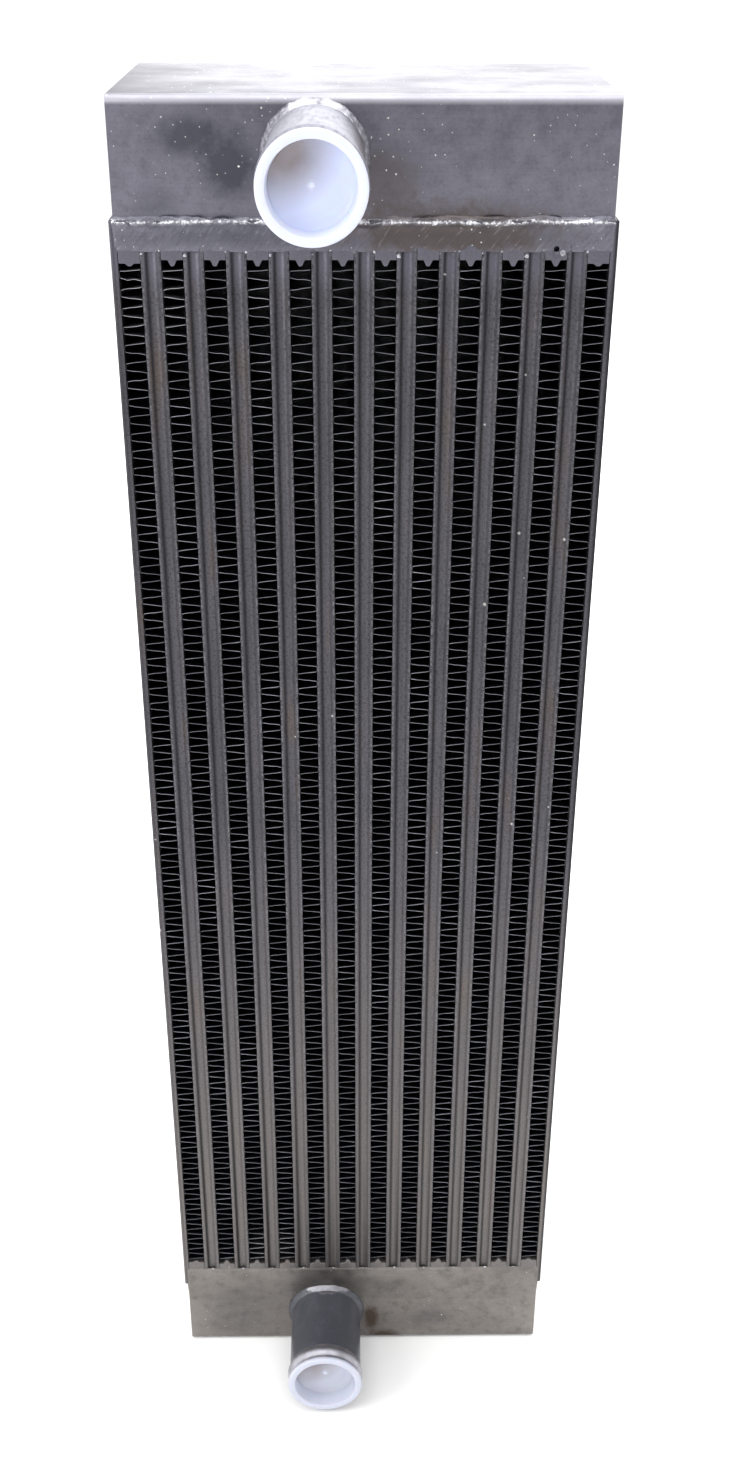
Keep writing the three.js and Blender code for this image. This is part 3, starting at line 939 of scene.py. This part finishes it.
class COOLER_OT_fins(Operator):
    """Models the corrugated air fins, each bent a little differently"""

    bl_idname = "cooler.fins"
    bl_label = "Air fins"

    def execute(self, context):
        core, colours = context.scene.cooler_core, context.scene.cooler_colours
        material = fin_sheet(colours)
        low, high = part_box("air_fin_1")
        centre = (low + high) / 2
        wide = (high.x - low.x) / 2 - core.fin_side_room - core.fin_gauge / 2
        folds = round((high.z - low.z) / (2 * core.fin_spacing))
        lean, corner = core.fin_lean, core.fin_corner
        step = (high.z - low.z - 2 * (lean + core.fin_gauge)) / (2 * folds)

        # One fold: a leg to the right, its crest, a leg back to the left and that crest. A leg
        # is an S, nearly level in its middle third.
        bow = 0.25 * lean
        turns = [
            (corner - wide, -lean), (-wide / 3, -bow), (wide / 3, bow), (wide - corner, lean),
            (wide, lean + corner), (wide, step - lean - corner),
            (wide - corner, step - lean), (wide / 3, step - bow), (-wide / 3, step + bow),
            (corner - wide, step + lean), (-wide, step + lean + corner),
            (-wide, 2 * step - lean - corner), (corner - wide, 2 * step - lean),
        ]
        base = low.z + lean + core.fin_gauge
        points = [Vector((centre.x + x, low.y, base + z)) for x, z in turns]
        fin = start_line("fin_master", points[0])
        draw_line(points)
        free = 2.5 * MM  # depth of the front and back strips, which can be bent
        for advance in (free, (high.y - low.y) - 2 * free, free):
            bpy.ops.mesh.select_all(action="DESELECT")
            front = max(v.co.y for v in bmesh.from_edit_mesh(fin.data).verts)
            pick(fin, "edges", lambda c, d: abs(c.y - front) < SAME and abs(d.y) < SAME)
            extrude((0, advance, 0))
        close_edit()
        modify(fin, "ARRAY", count=folds, use_relative_offset=False, use_constant_offset=True,
               constant_offset_displace=(0, 0, 2 * step), use_merge_vertices=True,
               merge_threshold=SAME)

        # The last leg, drawn across from the end of the last fold.
        edit(fin)
        pick(fin, "edges", lambda c, d: abs(c.z - (base + folds * 2 * step - lean)) < SAME
             and abs(d.y) > MM and c.x < centre.x)
        for advance in (wide - corner - wide / 3, wide * 2 / 3, wide - corner - wide / 3):
            extrude((advance, 0, lean / 3))
        close_edit()

        for number in range(PASSAGES):
            node = f"air_fin_{number + 1}"
            shift = Matrix.Translation((middle(node).x - centre.x, 0, 0))
            piece = copy_piece(fin, f"corrugated_fin_{number + 1}", shift)
            self.bend(piece, middle(node).x, wide, number, core)
            modify(piece, "SOLIDIFY", thickness=core.fin_gauge, offset=0)
            hand_over(piece, [material], [node])
        bpy.data.objects.remove(fin)
        return {"FINISHED"}

    def bend(self, piece, centre_x, wide, number, core):
        """Moves the free parts of the legs' front edges at random, more where knocked."""
        top = middle("air_fin_1").z + 338 * MM
        knocks = {0: 34 * MM, 1: 42 * MM, 7: 16 * MM}  # how far down each knocked fin is hit
        edge = CORE_FRONT + 2 * MM

        # (height from which legs are bent, how much)
        bends = [(FLOOR_HEIGHT - MM, core.fin_wobble), (top - 60 * MM, core.fin_top_wobble)]
        if number in knocks:
            bends.append((top - knocks[number], core.fin_damage))
        edit(piece)
        for turn, (start, amount) in enumerate(bends):
            pick(piece, "verts", lambda c, n: c.y < edge and c.z > start
                 and abs(c.x - centre_x) < wide / 2)
            bpy.ops.transform.vertex_random(offset=amount, seed=number + PASSAGES * turn)
        close_edit()


# ---- Tanks -------------------------------------------------------------------------------


class COOLER_OT_tanks(Operator):
    """Models the folded tanks, their end plates and the welds round them"""

    bl_idname = "cooler.tanks"
    bl_label = "Tanks"

    def execute(self, context):
        tanks, colours = context.scene.cooler_tanks, context.scene.cooler_colours
        weld = weld_metal(colours)
        for place, pipe in (("top", "inlet_pipe"), ("bottom", "outlet_pipe")):
            sheet = tank_sheet(colours, place)
            self.fold(tanks, place, pipe, sheet)
            for side in ("left", "right"):
                self.end_plate(tanks, place, side, sheet, weld)
        return {"FINISHED"}

    def fold(self, tanks, place, pipe, material):
        """One sheet folded round the front, the closed side and the back."""
        node = f"{place}_tank_sheet"
        low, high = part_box(node)
        up = 1 if place == "top" else -1
        closed_z = high.z if place == "top" else low.z
        tank = box_piece(f"{place}_folded_tank", low, high)
        edit(tank)
        pick(tank, "faces", lambda c, n: n.z * up < -FACING or abs(n.x) > FACING)
        bpy.ops.mesh.delete(type="FACE")
        pick(tank, "edges", lambda c, d: abs(d.x) > MM and abs(c.z - closed_z) < SAME)
        bpy.ops.mesh.bevel(offset=tanks.bend, segments=10, affect="EDGES")
        close_edit()
        modify(tank, "SOLIDIFY", thickness=tanks.wall, offset=-1)
        round_edges(tank, tanks.edge_round)
        port = middle(pipe)
        radius = bpy.context.scene.cooler_ports.outer + PORT_ROOM
        drill(tank, (port.x, low.y, port.z), radius, depth=4 * tanks.wall, sides=96)
        smooth(tank)
        hand_over(tank, [material], [node])

    def end_plate(self, tanks, place, side, sheet, weld):
        """A let-in end plate with a weld bead round its three closed edges."""
        node = f"{place}_tank_{side}_end"
        low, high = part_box(node)
        out = -1 if side == "left" else 1
        plate = box_piece(f"{place}_{side}_end_plate", low, high)
        edit(plate)
        pick(plate, "faces", lambda c, n: n.x * out > FACING)
        bpy.ops.mesh.inset(thickness=tanks.rim_width, depth=0)
        centre = (low + high) / 2
        reach = (high - low) / 2 - Vector((0, 1, 1)) * tanks.rim_width * 0.9

        def rim(c, n):
            away = c - centre
            return n.x * out > FACING and (abs(away.y) > reach.y or abs(away.z) > reach.z)

        pick(plate, "faces", rim)
        bpy.ops.mesh.subdivide(number_cuts=1)
        pick(plate, "faces", rim)
        extrude((out * tanks.rim_height, 0, 0))
        close_edit()
        round_edges(plate, tanks.rim_height * 0.8, 4)
        for face in plate.data.polygons:
            away = face.center - centre
            outside = (face.center.x - centre.x) * out > (high.x - low.x) / 2 + 0.05 * MM
            on_rim = abs(away.y) > reach.y or abs(away.z) > reach.z
            face.material_index = int(outside and on_rim)
        smooth(plate)
        hand_over(plate, [sheet, weld], [node])


class COOLER_OT_tank_welds(Operator):
    """Models the weld along each tank's joint with the core, and the braze beads beside it"""

    bl_idname = "cooler.tank_welds"
    bl_label = "Tank welds"

    def execute(self, context):
        tanks, colours = context.scene.cooler_tanks, context.scene.cooler_colours
        # (height over the joint, how far out of the tank's wall) in millimetres, from the tank
        # to the core.
        proud = [(1.8, -0.2), (1.0, 0.8), (0, 1.7), (-1.1, 2.3), (-2.4, 2.3), (-4, 2.05),
                 (-6, 1.9), (-8, 1.82), (-10, 1.75), (-12, 1.68), (-14, 1.6), (-15, 1.35)]
        dressed = [(19, -0.1), (14, 0.35), (9, 0.8), (4, 1.2), (0, 1.55), (-4, 1.76), (-8, 1.74),
                   (-12, 1.68), (-14, 1.6), (-14.8, 1.35)]
        top = self.band("top_joint_weld", "top_tank_sheet", 1, proud, tanks)

        # The ridge is loose around the joint and held near the corners and on the core.
        ridge = top.vertex_groups.new(name="ridge")
        for vertex in top.data.vertices:
            height = (vertex.co.z - CORE_HIGH.z) / MM
            free = 1.0 if abs(vertex.co.x) < CORE_HIGH.x - 3 * MM else 0.2
            ridge.add([vertex.index], free * max(0.1, 1 - abs(height + 1.0) / 4), "REPLACE")
        roughen(top, "CLOUDS", 16 * MM, tanks.top_sway, "ridge", "Z")
        roughen(top, "CLOUDS", 3.0 * MM, tanks.top_ripple, "ridge")
        roughen(top, "CLOUDS", 12 * MM, tanks.top_ripple * 0.15)
        weep_hole(top)
        smooth(top, 60)
        hand_over(top, [tank_sheet(colours, "top", welded=True)])

        bottom = self.band("bottom_joint_weld", "bottom_tank_sheet", -1, dressed, tanks)
        roughen(bottom, "CLOUDS", 9 * MM, tanks.bottom_ripple)
        smooth(bottom, 60)
        hand_over(bottom, [bpy.data.materials["bottom_tank_mill_finish_sheet"]])
        self.braze_dots(context.scene.cooler_core, bpy.data.materials["tig_weld_aluminium"])
        return {"FINISHED"}

    def band(self, name, node, up, rings, tanks):
        """A band round the tank's foot. rings give its section."""
        low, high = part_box(node)
        joint = low.z if up > 0 else high.z
        half = Vector((high.x, high.y, 0))
        heights = [joint + up * z * MM for z, _ in rings]
        corner_low = (-half.x, -half.y, min(heights))
        band = box_piece(name, corner_low, (half.x, half.y, max(heights)))
        edit(band)
        pick(band, "faces", lambda c, n: abs(n.z) > FACING)
        bpy.ops.mesh.delete(type="ONLY_FACE")
        pick(band, "edges", lambda c, d: abs(d.z) > MM)
        bpy.ops.mesh.bevel(offset=2 * MM, segments=4, affect="EDGES")
        slice_across(2, heights[1:-1])
        for axis in (0, 1):
            pick(band, "edges", lambda c, d: abs(d[axis]) > 20 * MM)
            cuts = round(2 * half[axis] / tanks.weld_step)
            bpy.ops.mesh.subdivide(number_cuts=cuts)
        for (_, out), height in zip(rings, heights):
            pick(band, "verts", lambda c, n: abs(c.z - height) < SAME)
            grow = (1 + 0.5 * out * MM / half.x, 1 + out * MM / half.y, 1)
            bpy.ops.transform.resize(value=grow, center_override=(0, 0, height))
        bpy.ops.mesh.select_all(action="SELECT")
        bpy.ops.mesh.normals_make_consistent(inside=False)
        close_edit()
        modify(band, "SOLIDIFY", thickness=WELD_SHEET, offset=-1)
        return band

    def braze_dots(self, core, weld):
        """Beads of filler that ran out where the long bars meet the end bars."""
        top_line = CORE_HIGH.z - 15.0 * MM
        bottom_line = CORE_LOW.z + 14.6 * MM
        beads = []  # place across, height, share of the full radius
        for number in range(CHANNELS):
            low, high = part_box(f"oil_channel_{number + 1}")
            spread = 0.5 + 0.5 * math.sin(2.3 * number)
            aside = spread * MM
            beads += [
                (low.x + aside, top_line - 2 * aside, 0.35 + 0.7 * spread ** 3),
                (high.x - aside, top_line + aside, 0.75 - 0.5 * spread),
                ((low.x + high.x) / 2 + aside, bottom_line, 0.4 + 0.5 * spread),
            ]

        # The largest one lies beside the weep hole.
        weep = middle(f"top_end_bar_{PASSAGES - 1}").x
        beads.append((weep + 3.2 * MM, CORE_HIGH.z - 15.6 * MM, 1.8))
        dots = []
        for x, z, size in beads:
            deselect()
            bpy.ops.mesh.primitive_ico_sphere_add(
                subdivisions=2, radius=core.braze_dot * size, location=(x, CORE_FRONT, z),
                scale=(1.1, 0.5, 1.0),
            )
            dots.append(settle("dot"))
        filler = join("braze_filler_beads", dots)
        roughen(filler, "CLOUDS", 0.8 * MM, 1.0 * MM)
        smooth(filler, 80)
        hand_over(filler, [weld])


# ---- Ports -------------------------------------------------------------------------------


class COOLER_OT_ports(Operator):
    """Turns the two pipes, their welds and the transit plugs"""

    bl_idname = "cooler.ports"
    bl_label = "Ports"

    def execute(self, context):
        ports, colours = context.scene.cooler_ports, context.scene.cooler_colours
        weld = bpy.data.materials["tig_weld_aluminium"]
        bare, painted = bare_tube(colours), painted_tube(colours)
        for name, tank, metal, foot in (
            ("inlet", "top", bare, weld), ("outlet", "bottom", painted, painted),
        ):
            wall_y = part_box(f"{tank}_tank_sheet")[0].y
            low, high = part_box(f"{name}_pipe")
            centre = Vector(((low.x + high.x) / 2, wall_y, (low.z + high.z) / 2))
            self.pipe(ports, name, centre, low.y, high.y, metal)
            self.collar(ports, name, centre, foot)
            self.plug(ports, name, centre, plug_plastic(colours, name))
        return {"FINISHED"}

    def pipe(self, ports, name, centre, front_y, back_y, material):
        """A tube with a chamfered end and a rolled hose bead behind it."""
        front, back = front_y - centre.y, back_y - centre.y
        chamfer, foot = 0.4 * MM, -6 * MM
        bead_steps, fullness = 14, 0.7
        bead_start = front + ports.bead_from_end
        bead = []
        for i in range(bead_steps + 1):
            share = i / bead_steps
            lift = (0.5 - 0.5 * math.cos(FULL_TURN * share)) ** fullness
            bead.append((ports.outer + ports.bead_rise * lift,
                         bead_start + ports.bead_length * share))
        profile = [
            (ports.bore, back), (ports.bore, front + chamfer), (ports.bore + chamfer, front),
            (ports.outer - chamfer, front), (ports.outer, front + chamfer), *bead,
            (ports.outer, foot), (ports.outer, back), (ports.bore, back),
        ]
        pipe = turned_piece(f"{name}_tube", profile, centre, ports.steps)
        smooth(pipe)
        hand_over(pipe, [material], [f"{name}_pipe"])

    def collar(self, ports, name, centre, material):
        """The fillet weld round the pipe's foot."""
        leg, radius = ports.collar_leg, ports.outer
        section = [(0.0, 0.1), (1.0, 0.1), (1.02, -0.25), (0.72, -0.7), (0.4, -1.1),
                   (0.16, -1.5), (0.0, -1.7)]  # in legs, away from the pipe and along it
        sunk = 0.1 * MM
        profile = [(radius - sunk + leg * x, leg * y) for x, y in section]
        collar = turned_piece(f"{name}_collar_weld", [*profile, profile[0]], centre, 160)
        roughen(collar, "CLOUDS", 3 * MM, ports.collar_ripple)
        roughen(collar, "STUCCI", 1.8 * MM, ports.collar_ripple * 0.6)
        smooth(collar, 60)
        hand_over(collar, [material])

    def plug(self, ports, name, centre, material):
        """A flanged cup with a moulding sprue on its floor."""
        node = f"{name}_plug"
        low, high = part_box(node)
        mouth = Vector((centre.x, low.y, centre.z))
        flange = (high.x - low.x) / 2
        depth, seat = high.y - low.y, 2.5 * MM  # of the cup, and of the flange
        wall, neck, taper, edge = ports.cup_wall, ports.bore - 0.3 * MM, 0.8 * MM, 0.3 * MM
        floor = depth - wall
        cup, mouth_radius = neck - taper - wall, ports.cup_radius
        profile = [
            (0, floor - 0.9 * MM), (0.9 * MM, floor - 0.85 * MM), (1.4 * MM, floor - 0.55 * MM),
            (1.7 * MM, floor - 0.15 * MM), (2.3 * MM, floor), (cup * 0.6, floor + 0.1 * MM),
            (cup - 2.6 * MM, floor), (cup - 2.2 * MM, floor - 0.35 * MM),
            (cup - 1.4 * MM, floor - 0.4 * MM), (cup - 1.1 * MM, floor - 0.8 * MM),
            (cup - 0.4 * MM, floor - 0.9 * MM), (cup, floor - 1.6 * MM),
            (mouth_radius - 0.05 * MM, edge * 1.6), (mouth_radius + 0.05 * MM, edge * 0.6),
            (mouth_radius + edge, 0), (flange - 3 * edge, 0), (flange - edge, 0.15 * MM),
            (flange, 2 * edge), (flange, seat - edge), (flange - edge, seat), (neck, seat),
            (neck - taper, depth - 1.2 * MM), (neck - taper - 1.2 * MM, depth), (0, depth),
        ]
        plug = turned_piece(f"{name}_transit_plug", profile, mouth, ports.steps)
        smooth(plug, 50)
        hand_over(plug, [material], [node], body=node)


# ---- Add-on ------------------------------------------------------------------------------


class COOLER_PT_panel(Panel):
    """Lists the cooler's operators"""

    bl_idname = "COOLER_PT_panel"
    bl_label = "Oil cooler"
    bl_space_type = "VIEW_3D"
    bl_region_type = "UI"
    bl_category = "Oil cooler"

    def draw(self, context):
        for operator in OPERATORS:
            self.layout.operator(operator.bl_idname)


SETTINGS = {
    "cooler_core": CoolerCore,
    "cooler_tanks": CoolerTanks,
    "cooler_ports": CoolerPorts,
    "cooler_colours": CoolerColours,
}
OPERATORS = (
    COOLER_OT_stage,
    COOLER_OT_channels,
    COOLER_OT_end_bars,
    COOLER_OT_fins,
    COOLER_OT_tanks,
    COOLER_OT_tank_welds,
    COOLER_OT_ports,
)
CLASSES = (*SETTINGS.values(), *OPERATORS, COOLER_PT_panel)


def register():
    for item in CLASSES:
        bpy.utils.register_class(item)
    for name, group in SETTINGS.items():
        setattr(bpy.types.Scene, name, PointerProperty(type=group))


def unregister():
    for name in SETTINGS:
        delattr(bpy.types.Scene, name)
    for item in reversed(CLASSES):
        bpy.utils.unregister_class(item)


def main():
    register()
    bpy.ops.cooler.stage()
    bpy.ops.cooler.channels()
    bpy.ops.cooler.end_bars()
    bpy.ops.cooler.fins()
    bpy.ops.cooler.tanks()
    bpy.ops.cooler.tank_welds()
    bpy.ops.cooler.ports()


if __name__ == "__main__":
    main()
